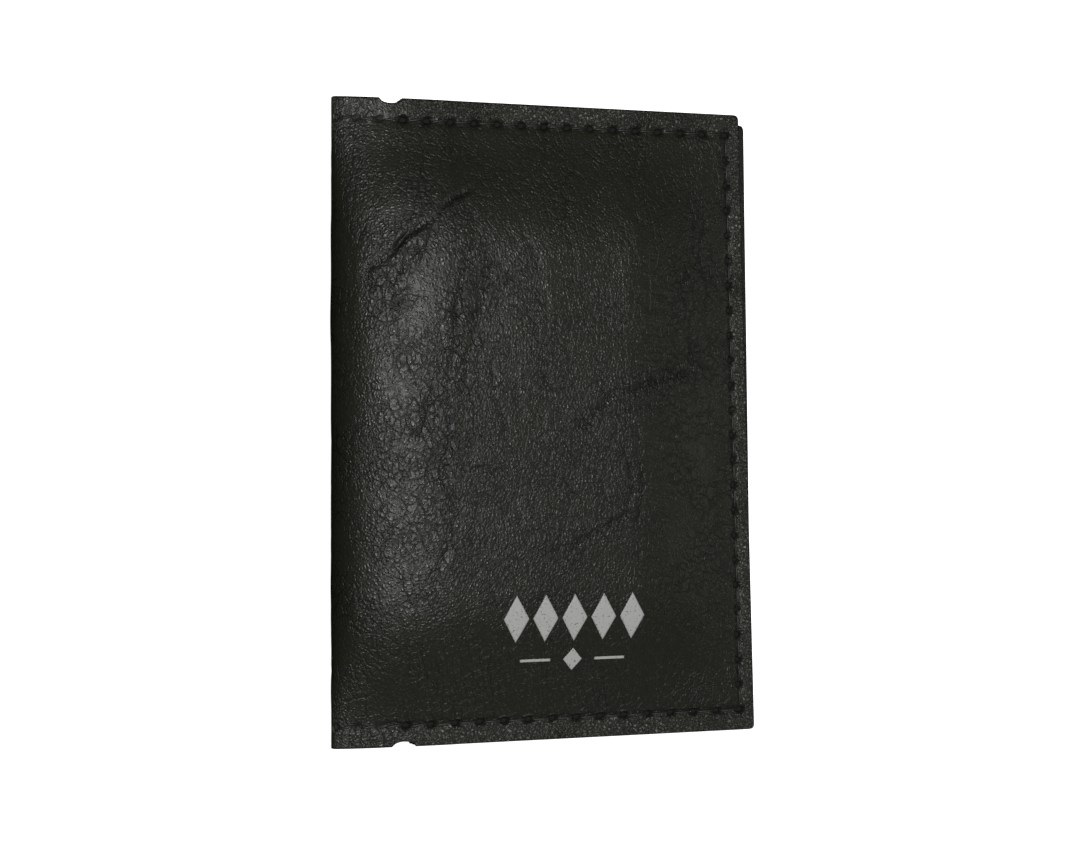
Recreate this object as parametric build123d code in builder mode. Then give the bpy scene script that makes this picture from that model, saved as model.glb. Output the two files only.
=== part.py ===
"""Business card case: a soft folding case with one sewn card pocket in each
half.  Closed, lying on its back cover: X runs from the spine (-X) to the fore
edge (+X), Y from the tail (-Y) to the head (+Y), Z up.  Millimetres."""
import os
from math import sqrt

from build123d import *

os.makedirs("parts", exist_ok=True)

# ---- driving dimensions -----------------------------------------------------
HEIGHT = 105.0          # head to tail
WIDTH = 73.0            # spine to the widest point of the fore edge
THICK = 14.0            # closed, outer face to outer face
HALF_GAP = 0.4          # air between the two pocket panels when closed

LEATHER = 0.8           # cover skin
FOAM = 0.6              # padding under the cover
LINING = 0.2            # woven lining
PANEL = 0.7             # pocket panel
HEM = 0.3               # skived, turned edge of the pocket mouth

SPINE_R = 6.0           # outer radius of the two soft folds
FOLD_GAP = 0.1          # half the clearance at each fold line
SEAM_HEAD = 3.5         # stitch line to head and tail edges
SEAM_FORE = 2.6         # stitch line to the fore edge of the front half
RIM_FOOT = 0.9          # crown starts this far inside the stitch line
SLOPE_HEAD = 6.8        # crown slope at head and tail
SLOPE_FORE = 6.2        # crown slope at the fore edge

FRONT_INSET = 1.6       # front half is this much narrower than the back half
BACK_SKEW = 0.95        # back fore edge runs in by this from head to tail
BACK_DROP = 0.9         # back head edge falls by this towards the fore edge
CORNER_R = 1.1          # fore corners

MOUTH = 11.5            # spine face to the pocket mouth
NICK_W = 3.5            # half-moon nicks at the pocket mouth
NICK_D = 0.8
NICK_SHIFT = 1.9        # head nick lies this much nearer the spine than the tail nick
STITCHES_HEAD = 14      # stitches from the mouth to the fore corner
STITCHES_FORE = 23      # stitches along the fore edge
THREAD = 0.5            # thread width
PROUD = 0.22            # thread standing above the rim
GROOVE = 0.35           # thread sunk into the cover
GROOVE_FIT = 0.03       # clearance between the thread and its groove
DIP = 0.45              # run over which a stitch dives into its hole
DIP_D = 0.22            # depth at the ends of a stitch
CHANNEL = 0.3           # depth of the thread channels in the panels
CHANNEL_W = 0.6         # their width
CHANNEL_LEAD = 1.2      # they start this far inside the pocket mouth
THREAD_LEAD = 1.5       # the bobbin thread starts this far inside the mouth
MOUTH_SEAM = 2.4        # pocket mouth to the stitch line of the turned edge
MOUTH_RUN = 94.0        # length of the turned edge

HEM_W = 7.0             # width of the turned edge
HEM_SET = 0.1           # it lies this far inside the pocket mouth
HEM_GAP = 0.01          # clearance between panel and turned edge
HEM_R = 1.0             # its rounded corners

PAD_SET = 1.6           # foam pad starts this far inside the pocket mouth
PAD_EDGE = 1.0          # foam pad ends this far inside the foot of the crown
LINING_SET = 0.4        # lining ends this far inside head and tail

STAMP_W = 25.0          # foil ornament
STAMP_T = 0.05
STAMP_FIT = 0.05        # room round the foil in its recess
STAMP_AIR = 0.01        # and under it
LOZENGE = (2.1, 3.8)    # half sizes of the large lozenges
LOZENGE_LOW = (1.5, 1.9)
RULE = (5.0, 0.5)       # rules beside the small lozenge
STAMP_X = 3.0           # middle of its upper row
STAMP_Y = -32.0
STAMP_DROP = 7.0        # upper row to lower row
RULE_X = 6.0            # middle of the lower row to the middle of a rule

# ---- derived ----------------------------------------------------------------
MID = THICK / 2
LEFT = -WIDTH / 2
HALF_H = HEIGHT / 2
FRONT_FORE = WIDTH / 2 - FRONT_INSET
MOUTH_X = LEFT + MOUTH
ARC_X = LEFT + SPINE_R                 # arc centres of the two folds
TOP = MID                              # plateau height above the middle
PANEL_IN = HALF_GAP / 2
PANEL_OUT = PANEL_IN + PANEL
RIM = PANEL_OUT + LINING + LEATHER     # outer face of the sewn rim
SEAM_Y = HALF_H - SEAM_HEAD
SEAM_X = FRONT_FORE - SEAM_FORE
FOOT_Y = SEAM_Y - RIM_FOOT
FOOT_X = SEAM_X - RIM_FOOT
EDGE_Y = FOOT_Y - SLOPE_HEAD           # plateau edge at head and tail
EDGE_X = FOOT_X - SLOPE_FORE           # plateau edge at the fore side
RISE_X = MOUTH_X + 10.0                # rims are fully pressed from here on
PROUD_X = MOUTH_X + 8.0                # stitches stand proud from here on
BIG = 200.0             # longer than the case
OVER = 5.0              # cutting blocks run this far past the case
CROWN_ROOT = 1.5        # crown solids reach this far past the middle
CROWN_OVER = 1.0        # and this far past the trimmed outline
MOUTH_FULL = 1.2        # full height is kept this far past the pocket mouth
MOUTH_FADE = 4.2        # the foam reaches its own height this far past it
SPINE_REACH = 12.0      # spine window, run out along the fold planes
HALF_REACH = 9.0        # half window, likewise
FIRST_HOLE = 0.2        # first head hole from the pocket mouth
FOLD_LEAD = 0.05        # head and tail threads start this far from the fold
FLUSH = 0.05            # beside the spine they lie this far under the skin
GROOVE_LEAD = 0.2       # grooves start this far before the fold
GROOVE_OVER = 2.0       # height of the tool that presses them
SPINE_FIT = 0.02        # air round the thread across the spine
MOUTH_END = 0.2         # mouth thread stops this far inside its channel
PITCH = (SEAM_X - (MOUTH_X + FIRST_HOLE)) / STITCHES_HEAD
PITCH_FORE = 2 * SEAM_Y / STITCHES_FORE


def crown(side, drop, foam):
    """Solid under the crowned skin of one half, from the middle outwards: a
    pillow over the pocket, and a ramp that lifts the open mouth end to full
    height.  side is +1 for the front half and -1 for the back half."""
    floor = -CROWN_ROOT - drop
    start = ARC_X - drop
    end = WIDTH / 2 + CROWN_OVER + drop
    past = HALF_H + CROWN_OVER + drop
    top, rim = TOP - drop, RIM - drop
    across = [(-FOOT_Y, floor), (-FOOT_Y, rim), (-EDGE_Y, top - foam),
              (EDGE_Y, top - foam), (FOOT_Y, rim), (FOOT_Y, floor)]
    along = [(start, floor), (start, top), (MOUTH_X + MOUTH_FULL, top),
             (MOUTH_X + MOUTH_FADE, top - foam), (EDGE_X, top - foam),
             (FOOT_X, rim), (FOOT_X, floor)]
    ramp = [(start, floor), (start, top), (MOUTH_X, top), (RISE_X, rim),
            (end, rim), (end, floor)]
    with BuildPart() as body:
        with BuildSketch(Plane.YZ.offset(start)):
            with BuildLine():
                Polyline([(y, MID + side * z) for y, z in across], close=True)
            make_face()
        extrude(amount=end - start)
        with BuildSketch(Plane.XZ):
            with BuildLine():
                Polyline([(x, MID + side * z) for x, z in along], close=True)
            make_face()
        extrude(amount=past, both=True, mode=Mode.INTERSECT)
        with BuildSketch(Plane.XZ):
            with BuildLine():
                Polyline([(x, MID + side * z) for x, z in ramp], close=True)
            make_face()
        extrude(amount=past, both=True)
    return body.part


def shell(side, drop, thick, foam):
    """Layer of one half, thick measured across the plateau."""
    with BuildPart() as layer:
        add(crown(side, drop, foam) - crown(side, drop + thick, foam))
        with Locations((ARC_X + BIG / 2, 0, MID)):
            Box(BIG, BIG, BIG, mode=Mode.INTERSECT)
    return layer.part


def fold_ring(outer_r, thick):
    """Ring profile of the two folds and the spine wall, in X and Z."""
    inset = SPINE_R - outer_r
    with BuildSketch(Plane.XZ) as ring:
        with Locations((LEFT + inset + 30.0, MID)):
            RectangleRounded(60.0, THICK - 2 * inset, outer_r)
            RectangleRounded(60.0 - 2 * thick, THICK - 2 * inset - 2 * thick,
                             outer_r - thick, mode=Mode.SUBTRACT)
    return ring.sketch


def spine_window():
    """Region that belongs to the spine, between the two fold planes."""
    c = 1 / sqrt(2)
    z_arc = MID - SPINE_R
    near = (ARC_X - FOLD_GAP * c, z_arc - FOLD_GAP * c)
    far = (near[0] - SPINE_REACH * c, near[1] + SPINE_REACH * c)
    with BuildSketch(Plane.XZ) as win:
        with BuildLine():
            Polyline([(far[0], MID + far[1]), (near[0], MID + near[1]),
                      (near[0], MID - near[1]), (far[0], MID - far[1]),
                      (LEFT - SPINE_REACH, MID - far[1]),
                      (LEFT - SPINE_REACH, MID + far[1])],
                     close=True)
        make_face()
    return win.sketch


def half_window(side):
    """Region of one fold that belongs to the front or the back half."""
    start = MID - SPINE_R + 2 * FOLD_GAP / sqrt(2)
    with BuildSketch(Plane.XZ) as win:
        with BuildLine():
            Polyline([(ARC_X, MID + side * start),
                      (ARC_X - HALF_REACH, MID + side * (start + HALF_REACH)),
                      (ARC_X, MID + side * (start + HALF_REACH))], close=True)
        make_face()
    return win.sketch


def fold_piece(window, outer_r, thick, y_from, y_to):
    """Ring profile inside a window, run along Y."""
    with BuildPart() as piece:
        add(extrude(fold_ring(outer_r, thick) & window,
                    amount=HEIGHT, both=True, mode=Mode.PRIVATE))
        with Locations((0, (y_from + y_to) / 2, MID)):
            Box(BIG, y_to - y_from, BIG, mode=Mode.INTERSECT)
    return piece.part


def outline(side, from_x):
    """Trimmed outline of one half, as a tall block."""
    if side > 0:
        pts = [(from_x, -HALF_H), (FRONT_FORE, -HALF_H),
               (FRONT_FORE, HALF_H), (from_x, HALF_H)]
        corners = [(FRONT_FORE, -HALF_H), (FRONT_FORE, HALF_H)]
    else:
        tail = (WIDTH / 2 - BACK_SKEW, -HALF_H)
        head = (WIDTH / 2, HALF_H - BACK_DROP)
        pts = [(from_x, -HALF_H), tail, head, (RISE_X, HALF_H),
               (from_x, HALF_H)]
        corners = [tail, head]
    radius = (NICK_W ** 2 / 4 + NICK_D ** 2) / (2 * NICK_D)
    with BuildPart() as block:
        with BuildSketch(Plane.XY.offset(-OVER)) as sk:
            with BuildLine():
                Polyline(pts, close=True)
            make_face()
            picked = [v for v in sk.vertices()
                      if any(abs(v.X - cx) < 1e-3 and abs(v.Y - cy) < 1e-3
                             for cx, cy in corners)]
            fillet(picked, CORNER_R)
            with Locations((MOUTH_X - NICK_SHIFT, HALF_H + radius - NICK_D),
                           (MOUTH_X, -HALF_H - radius + NICK_D)):
                Circle(radius, mode=Mode.SUBTRACT)
        extrude(amount=THICK + 2 * OVER)
    return block.part


def seam_height(x):
    """Height of the outer skin above the middle along the head stitch line."""
    t = min(max((x - MOUTH_X) / (RISE_X - MOUTH_X), 0.0), 1.0)
    return TOP + t * (RIM - TOP)


def wave(points, height, proud, depth):
    """Side view of a row of stitches: (run, height) pairs of a closed loop."""
    top = []
    for a, b in zip(points[:-1], points[1:]):
        lift = proud if a > PROUD_X else -FLUSH
        top.append((a, height(a) - DIP_D))
        runs = [a + DIP, b - DIP]
        runs += [x for x in (MOUTH_X, RISE_X) if runs[0] < x < runs[1]]
        top += [(u, height(u) + lift) for u in sorted(runs)]
    top.append((points[-1], height(points[-1]) - DIP_D))
    runs = [points[0], MOUTH_X, RISE_X, points[-1]]
    return top + [(u, height(u) - depth) for u in reversed(runs)]


HEAD_RUN = [SEAM_X - k * PITCH for k in range(STITCHES_HEAD + 1)][::-1]
HEAD_RUN = [ARC_X + FOLD_LEAD] + HEAD_RUN
FORE_RUN = [-SEAM_Y + k * PITCH_FORE for k in range(STITCHES_FORE + 1)]


def groove_tool(side):
    """Channel pressed into the cover by the stitches of one half."""
    half_w = THREAD / 2 + GROOVE_FIT
    xs = [ARC_X - GROOVE_LEAD, MOUTH_X, RISE_X, SEAM_X]
    low = [(x, seam_height(x) - GROOVE) for x in xs]
    high = [(x, seam_height(x) + GROOVE_OVER) for x in reversed(xs)]
    with BuildPart() as tool:
        for y in (SEAM_Y, -SEAM_Y):
            with BuildSketch(Plane.XZ.offset(-y)):
                with BuildLine():
                    Polyline([(x, MID + side * z) for x, z in low + high],
                             close=True)
                make_face()
            extrude(amount=half_w, both=True)
        middle = RIM - GROOVE + GROOVE_OVER / 2
        with Locations((SEAM_X, 0, MID + side * middle)):
            Box(2 * half_w, 2 * SEAM_Y + 2 * half_w, GROOVE_OVER)
    return tool.part


def row_of_stitches(side):
    """Needle thread of one half: head row, fore row and tail row."""
    with BuildPart() as rows:
        for y in (SEAM_Y, -SEAM_Y):
            with BuildSketch(Plane.XZ.offset(-y)):
                with BuildLine():
                    Polyline([(u, MID + side * z) for u, z in
                              wave(HEAD_RUN, seam_height, PROUD,
                                   GROOVE - GROOVE_FIT)], close=True)
                make_face()
            extrude(amount=THREAD / 2, both=True)
        with BuildSketch(Plane.YZ.offset(SEAM_X)):
            with BuildLine():
                fore = []
                for a, b in zip(FORE_RUN[:-1], FORE_RUN[1:]):
                    fore += [(a, RIM - DIP_D), (a + DIP, RIM + PROUD),
                             (b - DIP, RIM + PROUD)]
                fore.append((FORE_RUN[-1], RIM - DIP_D))
                fore += [(SEAM_Y, RIM - GROOVE + GROOVE_FIT),
                         (-SEAM_Y, RIM - GROOVE + GROOVE_FIT)]
                Polyline([(u, MID + side * z) for u, z in fore], close=True)
            make_face()
        extrude(amount=THREAD / 2, both=True)
    return rows.part


def under_thread(side, width, low, high, x_from):
    """Three straight runs of thread in the inner face of a pocket panel."""
    z = MID + side * (PANEL_IN + (low + high) / 2)
    t = high - low
    with BuildPart() as run:
        with Locations(((x_from + SEAM_X) / 2, SEAM_Y, z),
                       ((x_from + SEAM_X) / 2, -SEAM_Y, z)):
            Box(SEAM_X - x_from + width, width, t)
        with Locations((SEAM_X, 0, z)):
            Box(width, 2 * SEAM_Y, t)
    return run.part


def mouth_thread(side, width, low, high, length):
    """Straight run of thread that holds the turned mouth edge."""
    with BuildPart() as run:
        with Locations((MOUTH_X + MOUTH_SEAM, 0,
                        MID + side * (PANEL_IN + (low + high) / 2))):
            Box(width, length, high - low)
    return run.part


def lozenge(size, grow):
    """Upright lozenge from its half width and half height."""
    wide = size[0] + grow
    high = size[1] + grow
    Polygon((-wide, 0), (0, -high), (wide, 0), (0, high), align=None)


def stamp_shapes(grow):
    """Flat foil ornament: a band of lozenges over a small one between rules."""
    with BuildSketch(Plane.XY) as sk:
        with GridLocations(STAMP_W / 5, 1, 5, 1):
            lozenge(LOZENGE, grow)
        with Locations((0, -STAMP_DROP)):
            lozenge(LOZENGE_LOW, grow)
        with Locations((-RULE_X, -STAMP_DROP), (RULE_X, -STAMP_DROP)):
            Rectangle(RULE[0] + 2 * grow, RULE[1] + 2 * grow)
    return sk.sketch


def groove_in(window):
    """Channels of the head and tail rows across one part of the fold."""
    half_w = THREAD / 2 + GROOVE_FIT
    with BuildPart() as grooves:
        for y in (SEAM_Y, -SEAM_Y):
            add(fold_piece(window, SPINE_R, GROOVE, y - half_w, y + half_w))
    return grooves.part


# ---- covers -----------------------------------------------------------------
with BuildPart() as front_cover:
    add(shell(1, 0.0, LEATHER, 0.0))
    add(fold_piece(half_window(1), SPINE_R, LEATHER, -HALF_H, HALF_H))
    add(outline(1, LEFT - OVER), mode=Mode.INTERSECT)
    add(groove_tool(1), mode=Mode.SUBTRACT)
    add(groove_in(half_window(1)), mode=Mode.SUBTRACT)
    with BuildSketch(Plane.XY.offset(THICK - STAMP_T - STAMP_AIR)):
        with Locations((STAMP_X, STAMP_Y)):
            add(stamp_shapes(STAMP_FIT))
    extrude(amount=1.0, mode=Mode.SUBTRACT)
front_cover.part.label = "front_cover"
export_step(front_cover.part, "parts/front_cover.step")

with BuildPart() as back_cover:
    add(shell(-1, 0.0, LEATHER, 0.0))
    add(fold_piece(half_window(-1), SPINE_R, LEATHER, -HALF_H, HALF_H))
    add(outline(-1, LEFT - OVER), mode=Mode.INTERSECT)
    add(groove_tool(-1), mode=Mode.SUBTRACT)
    add(groove_in(half_window(-1)), mode=Mode.SUBTRACT)
back_cover.part.label = "back_cover"
export_step(back_cover.part, "parts/back_cover.step")

with BuildPart() as spine_cover:
    add(fold_piece(spine_window(), SPINE_R, LEATHER, -HALF_H, HALF_H))
    add(groove_in(spine_window()), mode=Mode.SUBTRACT)
spine_cover.part.label = "spine_cover"
export_step(spine_cover.part, "parts/spine_cover.step")

# ---- foam pads --------------------------------------------------------------
PAD_X0 = MOUTH_X + PAD_SET
PAD_X1 = FOOT_X - PAD_EDGE
PAD_Y = FOOT_Y - PAD_EDGE

with BuildPart() as front_foam:
    add(crown(1, LEATHER, 0.0) - crown(1, LEATHER, FOAM))
    with Locations(((PAD_X0 + PAD_X1) / 2, 0, MID + 5)):
        Box(PAD_X1 - PAD_X0, 2 * PAD_Y, 10, mode=Mode.INTERSECT)
front_foam.part.label = "front_foam"
export_step(front_foam.part, "parts/front_foam.step")

with BuildPart() as back_foam:
    add(crown(-1, LEATHER, 0.0) - crown(-1, LEATHER, FOAM))
    with Locations(((PAD_X0 + PAD_X1) / 2, 0, MID - 5)):
        Box(PAD_X1 - PAD_X0, 2 * PAD_Y, 10, mode=Mode.INTERSECT)
back_foam.part.label = "back_foam"
export_step(back_foam.part, "parts/back_foam.step")

# ---- linings ----------------------------------------------------------------
LINING_Y = HALF_H - LINING_SET

with BuildPart() as front_lining:
    add(shell(1, LEATHER, LINING, FOAM))
    add(fold_piece(half_window(1), SPINE_R - LEATHER, LINING,
                   -LINING_Y, LINING_Y))
    add(outline(1, LEFT - OVER), mode=Mode.INTERSECT)
front_lining.part.label = "front_lining"
export_step(front_lining.part, "parts/front_lining.step")

with BuildPart() as back_lining:
    add(shell(-1, LEATHER, LINING, FOAM))
    add(fold_piece(half_window(-1), SPINE_R - LEATHER, LINING,
                   -LINING_Y, LINING_Y))
    add(outline(-1, LEFT - OVER), mode=Mode.INTERSECT)
back_lining.part.label = "back_lining"
export_step(back_lining.part, "parts/back_lining.step")

with BuildPart() as spine_lining:
    add(fold_piece(spine_window(), SPINE_R - LEATHER, LINING,
                   -LINING_Y, LINING_Y))
spine_lining.part.label = "spine_lining"
export_step(spine_lining.part, "parts/spine_lining.step")

# ---- pocket panels ----------------------------------------------------------
with BuildPart() as front_pocket:
    with Locations((MOUTH_X + 50, 0, MID + PANEL_IN + PANEL / 2)):
        Box(100, HEIGHT, PANEL)
    add(outline(1, LEFT - OVER), mode=Mode.INTERSECT)
    add(under_thread(1, CHANNEL_W, 0.0, CHANNEL, MOUTH_X + CHANNEL_LEAD),
        mode=Mode.SUBTRACT)
    add(mouth_thread(1, CHANNEL_W, 0.0, CHANNEL, MOUTH_RUN),
        mode=Mode.SUBTRACT)
front_pocket.part.label = "front_pocket"
export_step(front_pocket.part, "parts/front_pocket.step")

with BuildPart() as back_pocket:
    with Locations((MOUTH_X + 50, 0, MID - PANEL_IN - PANEL / 2)):
        Box(100, HEIGHT, PANEL)
    add(outline(-1, LEFT - OVER), mode=Mode.INTERSECT)
    add(under_thread(-1, CHANNEL_W, 0.0, CHANNEL, MOUTH_X + CHANNEL_LEAD),
        mode=Mode.SUBTRACT)
    add(mouth_thread(-1, CHANNEL_W, 0.0, CHANNEL, MOUTH_RUN),
        mode=Mode.SUBTRACT)
back_pocket.part.label = "back_pocket"
export_step(back_pocket.part, "parts/back_pocket.step")

# ---- turned mouth edges -----------------------------------------------------
with BuildPart() as front_hem:
    with Locations((MOUTH_X + HEM_SET + HEM_W / 2, 0,
                    MID + PANEL_OUT + HEM / 2 + HEM_GAP)):
        Box(HEM_W, MOUTH_RUN, HEM)
    fillet(front_hem.edges().filter_by(Axis.Z), HEM_R)
front_hem.part.label = "front_hem"
export_step(front_hem.part, "parts/front_hem.step")

with BuildPart() as back_hem:
    with Locations((MOUTH_X + HEM_SET + HEM_W / 2, 0,
                    MID - PANEL_OUT - HEM / 2 - HEM_GAP)):
        Box(HEM_W, MOUTH_RUN, HEM)
    fillet(back_hem.edges().filter_by(Axis.Z), HEM_R)
back_hem.part.label = "back_hem"
export_step(back_hem.part, "parts/back_hem.step")

# ---- threads ----------------------------------------------------------------
with BuildPart() as front_thread:
    add(row_of_stitches(1))
front_thread.part.label = "front_thread"
export_step(front_thread.part, "parts/front_thread.step")

with BuildPart() as back_thread:
    add(row_of_stitches(-1))
back_thread.part.label = "back_thread"
export_step(back_thread.part, "parts/back_thread.step")

with BuildPart() as spine_thread:
    for y in (SEAM_Y, -SEAM_Y):
        add(fold_piece(spine_window(), SPINE_R - SPINE_FIT, GROOVE - 2 * SPINE_FIT,
                       y - THREAD / 2, y + THREAD / 2))
spine_thread.part.label = "spine_thread"
export_step(spine_thread.part, "parts/spine_thread.step")

with BuildPart() as front_bobbin_thread:
    add(under_thread(1, THREAD, GROOVE_FIT, CHANNEL - GROOVE_FIT,
                     MOUTH_X + THREAD_LEAD))
front_bobbin_thread.part.label = "front_bobbin_thread"
export_step(front_bobbin_thread.part, "parts/front_bobbin_thread.step")

with BuildPart() as back_bobbin_thread:
    add(under_thread(-1, THREAD, GROOVE_FIT, CHANNEL - GROOVE_FIT,
                     MOUTH_X + THREAD_LEAD))
back_bobbin_thread.part.label = "back_bobbin_thread"
export_step(back_bobbin_thread.part, "parts/back_bobbin_thread.step")

with BuildPart() as front_mouth_thread:
    add(mouth_thread(1, THREAD, GROOVE_FIT, CHANNEL - GROOVE_FIT,
                     MOUTH_RUN - 2 * MOUTH_END))
front_mouth_thread.part.label = "front_mouth_thread"
export_step(front_mouth_thread.part, "parts/front_mouth_thread.step")

with BuildPart() as back_mouth_thread:
    add(mouth_thread(-1, THREAD, GROOVE_FIT, CHANNEL - GROOVE_FIT,
                     MOUTH_RUN - 2 * MOUTH_END))
back_mouth_thread.part.label = "back_mouth_thread"
export_step(back_mouth_thread.part, "parts/back_mouth_thread.step")

# ---- foil ornament ----------------------------------------------------------
with BuildPart() as front_stamp:
    with BuildSketch(Plane.XY.offset(THICK - STAMP_T)):
        with Locations((STAMP_X, STAMP_Y)):
            add(stamp_shapes(0.0))
    extrude(amount=STAMP_T - STAMP_AIR / 2)
front_stamp.part.label = "front_stamp"
export_step(front_stamp.part, "parts/front_stamp.step")
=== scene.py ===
"""A folding business card case in crinkled leather-look sheet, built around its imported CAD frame.
The case lies closed on its back cover: the spine is at -X, the fore edge at +X and the head at +Y."""

import math

import bmesh
import bpy
import numpy as np
from mathutils import Matrix, Vector, noise


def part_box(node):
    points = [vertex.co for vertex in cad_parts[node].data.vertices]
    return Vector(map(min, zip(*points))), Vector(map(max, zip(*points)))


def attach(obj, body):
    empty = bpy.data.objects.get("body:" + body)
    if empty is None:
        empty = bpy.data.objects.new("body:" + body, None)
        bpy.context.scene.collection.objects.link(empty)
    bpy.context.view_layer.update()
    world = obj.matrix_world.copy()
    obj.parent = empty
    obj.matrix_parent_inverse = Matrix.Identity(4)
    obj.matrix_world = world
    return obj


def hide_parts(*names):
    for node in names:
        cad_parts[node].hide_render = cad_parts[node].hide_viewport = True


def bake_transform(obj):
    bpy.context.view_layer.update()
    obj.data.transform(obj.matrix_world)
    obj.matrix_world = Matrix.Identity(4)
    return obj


bl_info = {
    "name": "Business Card Case",
    "version": (1, 0, 0),
    "blender": (4, 5, 0),
    "location": "View3D > Sidebar > Card Case",
    "description": "Builds a stitched folding card case around its CAD frame",
    "category": "Add Mesh",
}

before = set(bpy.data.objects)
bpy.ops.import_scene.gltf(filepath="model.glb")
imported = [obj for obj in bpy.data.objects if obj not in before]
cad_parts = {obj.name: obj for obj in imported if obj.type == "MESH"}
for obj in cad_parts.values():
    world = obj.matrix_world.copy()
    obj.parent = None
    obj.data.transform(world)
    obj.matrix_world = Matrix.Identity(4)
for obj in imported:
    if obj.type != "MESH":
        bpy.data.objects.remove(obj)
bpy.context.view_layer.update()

MM = 0.001
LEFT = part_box("spine_cover")[0].x / MM
HALF_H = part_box("front_cover")[1].y / MM
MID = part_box("front_cover")[1].z / MM / 2
MOUTH_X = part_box("front_pocket")[0].x / MM
FRONT_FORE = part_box("front_cover")[1].x / MM
BACK_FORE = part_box("back_cover")[1].x / MM
BOBBIN_HALF = 0.25               # half width of the bobbin thread in the CAD
SEAM_Y = (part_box("front_bobbin_thread")[1].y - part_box("front_bobbin_thread")[0].y) / MM / 2 - BOBBIN_HALF
SEAM_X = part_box("front_bobbin_thread")[1].x / MM - BOBBIN_HALF
PANEL_IN = (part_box("front_pocket")[0].z - MID * MM) / MM
PANEL_OUT = (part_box("front_pocket")[1].z - MID * MM) / MM
MOUTH_SEAM_X = (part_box("front_mouth_thread")[0].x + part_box("front_mouth_thread")[1].x) / MM / 2
HEM_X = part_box("front_hem")[1].x / MM
FRONT, BACK = 1, -1
HALF_NAMES = {FRONT: "front", BACK: "back"}
RIM_END = MOUTH_X + 10.0         # from here on the rims are fully pressed
NICK_SHIFT = 1.9                 # the head nick lies this much nearer the spine than the tail nick
HEAD_STITCHES = 14
FORE_STITCHES = 23
FIRST_HOLE = 0.2                 # first head hole, from the pocket mouth
CROWN_FOOT = 0.6                 # the crown starts this far inside the stitches
END_DROP = 0.9                   # the open end slopes down this much to head and tail
END_SLOPE = 1.0                  # and its crown slopes over this much more
FORE_FALL = 1.5                  # the plateau falls this much towards the fore edge
FALL_FROM = 18.0                 # starting this far on the spine's side of the middle
FALL_RUN = 50.0
HEAD_FALL = 0.6                  # and this much towards head and tail
HEAD_RUN = 48.0
FORE_TAPER = 0.006               # the fore edge is shorter than the spine by this share
BACK_FIT = 0.35                  # the back seam lies this much further out
SEAM_DIP = 0.16                  # how far the stitches pull the skin down
SEAM_REACH = 0.7
HOLE_DEPTH = 0.8
HOLE_RADIUS = 0.54
# the inside of each stitch hole is painted near black as painted shade, out to PIT_RADIUS
PIT_RADIUS = 0.58                # the dark inside of a hole
HOLE_LONG = 1.35                 # head and tail holes are this much longer than wide
HOLE_FAR = 2.2                   # nothing of a hole beyond this
# SPINE_HOLES also scales the holes' painted shade beside the spine
SPINE_HOLES = 0.3                # share of the holes' depth beside the spine
DISH_DEPTH = 0.1
DISH_RADIUS = 1.2
PANEL_AIR = 0.02                 # pocket panels lie this far inside their CAD faces
PANEL_WAVER = 0.04
SEAM_GRID = (1.1, 0.22)          # reach and step of the finer grid at a seam
EDGE_GRID = (0.6, 0.12)          # and at an edge
MOUTH_GRID = (2.2, 0.3)          # and at the pocket mouth
BOBBIN_THREAD = 0.34
MOUTH_STITCHES = 26
MOUTH_END = 2.5                  # the mouth row stops this far inside the seams
STITCH_IN = 0.4                  # a stitch dives this far inside its holes
SLANT_SPINE = 0.3                # sideways slant of the stitches near the spine
SLANT = 0.14
SLANT_REACH = 12.0               # from the pocket mouth
STAMP_PITCH = 5.0
STAMP_DROP = 7.0                 # from the lozenges to the lower row
RULE_AWAY = 6.4
LOZENGE = (2.15, 3.9)            # half sizes
LOZENGE_LOW = (1.6, 1.9)
RULE = (2.6, 0.22)
# painted shade: the near black colour painted into the stitch holes
HOLE_SHADE = (0.0005, 0.0005, 0.0005, 1)
AIR_LIGHT = 0.018                # brightness of the studio air
CAMERA_TURN = 18.2               # degrees from straight above, towards the spine
CAMERA_DISTANCE = 368.2
CAMERA_LENS = 74.0
CAMERA_ASIDE = 1.1               # the camera looks past the middle by this much
CAMERA_UP = 0.25


def linear(hex_colour):
    """An sRGB hex colour such as 26271F as linear RGB."""
    parts = [int(hex_colour[i:i + 2], 16) / 255 for i in (0, 2, 4)]
    return [c / 12.92 if c <= 0.04045 else ((c + 0.055) / 1.055) ** 2.4 for c in parts]


def colour_prop(name, description, hex_colour):
    """A colour property with its default given as sRGB hex."""
    return bpy.props.FloatVectorProperty(
        name=name, description=description, subtype="COLOR", size=3, min=0, max=1,
        default=linear(hex_colour))


def size_prop(name, description, default):
    """A length property in millimetres."""
    return bpy.props.FloatProperty(name=name, description=description, default=default)


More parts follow.
